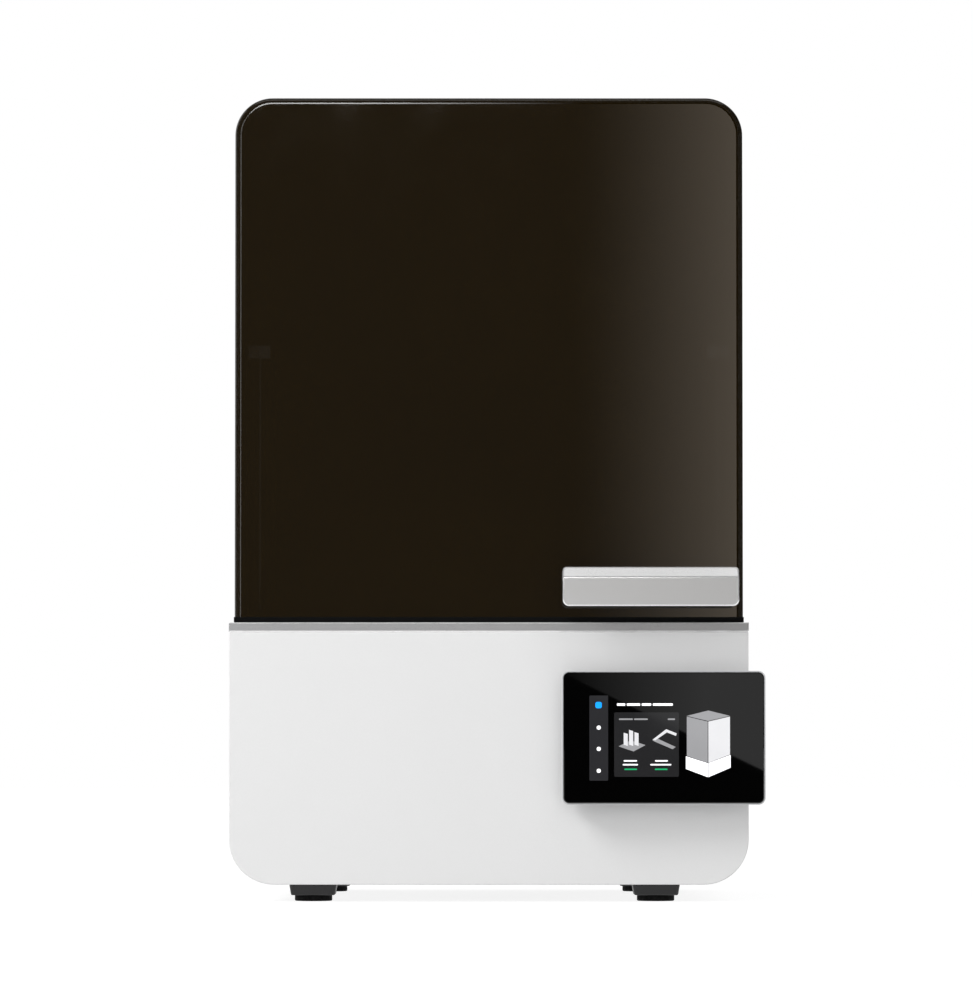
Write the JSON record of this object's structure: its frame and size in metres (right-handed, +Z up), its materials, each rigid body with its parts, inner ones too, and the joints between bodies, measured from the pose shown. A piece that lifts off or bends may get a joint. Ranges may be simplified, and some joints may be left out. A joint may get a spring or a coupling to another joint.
{
  "type": "resin printer",
  "caption": "Desktop resin printer with a flip-up smoked hood over a lifting build platform and a removable vat, on a white base with a touch display.",
  "frame": {"origin": "on the table under the middle of the base", "axes": "+Z up, +X to the right seen from the front, -Y out of the front"},
  "size_m": [0.3397, 0.3256, 0.5128],
  "materials": {
    "white_paint": "fine satin powder coat",
    "deck_metal": "satin anodised",
    "dark_paint": "fine textured powder coat",
    "column_metal": "satin anodised",
    "bare_aluminium": "machined, fine brush marks",
    "silver_metal": "bead blasted, satin anodised",
    "guide_steel": "ground",
    "screw_steel": "black oxide",
    "bronze": "turned",
    "black_plastic": "fine moulded grain",
    "pad_rubber": "matte",
    "seal_rubber": "matte",
    "hood_acrylic": "glossy, deep smoked brown, almost opaque",
    "housing_plastic": "fine moulded grain",
    "cover_glass": "black printed cover glass",
    "screen_glass": "dark glass over the mask screen",
    "lens_clear": "clear, ridged",
    "film_clear": "thin clear release film",
    "board": "solder mask",
    "supply_metal": "plain sheet"
  },
  "bodies": {
    "base": {"base_shell": "white_paint", "front_panel": "white_paint", "rear_panel": "white_paint", "panel_screws": "screw_steel", "deck_plate": "deck_metal", "foot_front_left": "black_plastic", "foot_front_right": "black_plastic", "foot_rear_left": "black_plastic", "foot_rear_right": "black_plastic", "foot_pads": "pad_rubber", "mask_screen": "screen_glass", "light_box": "dark_paint", "lens_plate": "lens_clear", "led_board": "board", "heatsink": "bare_aluminium", "light_fan_frame": "black_plastic", "vat_stops": "bare_aluminium", "z_column": "column_metal", "column_cap": "column_metal", "rail_left": "guide_steel", "rail_right": "guide_steel", "axis_screws": "screw_steel", "screw_bearing": "guide_steel", "z_motor": "screw_steel", "limit_sensor": "black_plastic", "rear_cover": "dark_paint", "pivot_pins": "guide_steel", "display_neck": "silver_metal", "display_housing": "housing_plastic", "display_glass": "cover_glass", "main_board": "board", "power_supply": "supply_metal", "rear_fan_frame": "black_plastic", "power_inlet": "black_plastic"},
    "hood": {"hood_brackets": "column_metal", "hood_shell": "hood_acrylic", "hood_seal": "seal_rubber", "hood_handle": "silver_metal"},
    "carriage": {"z_arm": "column_metal", "nut_block": "column_metal", "screw_nut": "bronze", "carriage_left": "guide_steel", "carriage_right": "guide_steel", "sensor_flag": "screw_steel"},
    "lift_screw": {"z_screw": "guide_steel", "screw_coupler": "bare_aluminium"},
    "platform": {"build_plate": "bare_aluminium", "platform_body": "silver_metal", "platform_bracket": "bare_aluminium", "platform_screws": "screw_steel"},
    "star_knob": {"platform_knob": "black_plastic"},
    "vat": {"vat_frame": "bare_aluminium", "vat_film": "film_clear", "film_clamp": "silver_metal", "film_screws": "screw_steel"},
    "left_thumb_screw": {"vat_knob_left": "black_plastic"},
    "right_thumb_screw": {"vat_knob_right": "black_plastic"},
    "light_fan": {"light_fan_rotor": "black_plastic"},
    "rear_fan": {"rear_fan_rotor": "black_plastic"},
    "rocker": {"power_switch": "black_plastic"}
  },
  "joints": [
    {"name": "hood_hinge", "type": "hinge", "parent": "base", "child": "hood", "pos_m": [0, 0.125, 0.3892], "axis": [-1, 0, 0], "range_deg": [0, 90]},
    {"name": "z_slide", "type": "slide", "parent": "base", "child": "carriage", "axis": [0, 0, 1], "range_m": [-0.159, 0.075]},
    {"name": "screw_spin", "type": "hinge", "parent": "base", "child": "lift_screw", "pos_m": [0, 0.1, 0.3012], "axis": [0, 0, 1], "range_deg": [-3450, 7250]},
    {"name": "platform_slide", "type": "slide", "parent": "carriage", "child": "platform", "axis": [0, -1, 0], "range_m": [0, 0.04]},
    {"name": "star_knob_turn", "type": "hinge", "parent": "platform", "child": "star_knob", "pos_m": [0, -0.034, 0.4062], "axis": [0, 0, 1], "continuous": true},
    {"name": "vat_lift", "type": "slide", "parent": "base", "child": "vat", "axis": [0, 0, 1], "range_m": [0, 0.06]},
    {"name": "left_thumb_turn", "type": "hinge", "parent": "vat", "child": "left_thumb_screw", "pos_m": [-0.142, -0.034, 0.1962], "axis": [0, 0, 1], "continuous": true},
    {"name": "right_thumb_turn", "type": "hinge", "parent": "vat", "child": "right_thumb_screw", "pos_m": [0.142, -0.034, 0.1962], "axis": [0, 0, 1], "continuous": true},
    {"name": "light_fan_spin", "type": "hinge", "parent": "base", "child": "light_fan", "pos_m": [0, -0.034, 0.0282], "axis": [0, 0, 1], "continuous": true},
    {"name": "rear_fan_spin", "type": "hinge", "parent": "base", "child": "rear_fan", "pos_m": [0.08, 0.14, 0.1111], "axis": [0, 1, 0], "continuous": true},
    {"name": "switch_rock", "type": "hinge", "parent": "base", "child": "rocker", "pos_m": [-0.1, 0.1465, 0.0961], "axis": [0, 0, 1], "range_deg": [-8, 8]}
  ],
  "couplings": [
    {"joint": "screw_spin", "follows": "z_slide", "rad_per_m": -785.4}
  ]
}
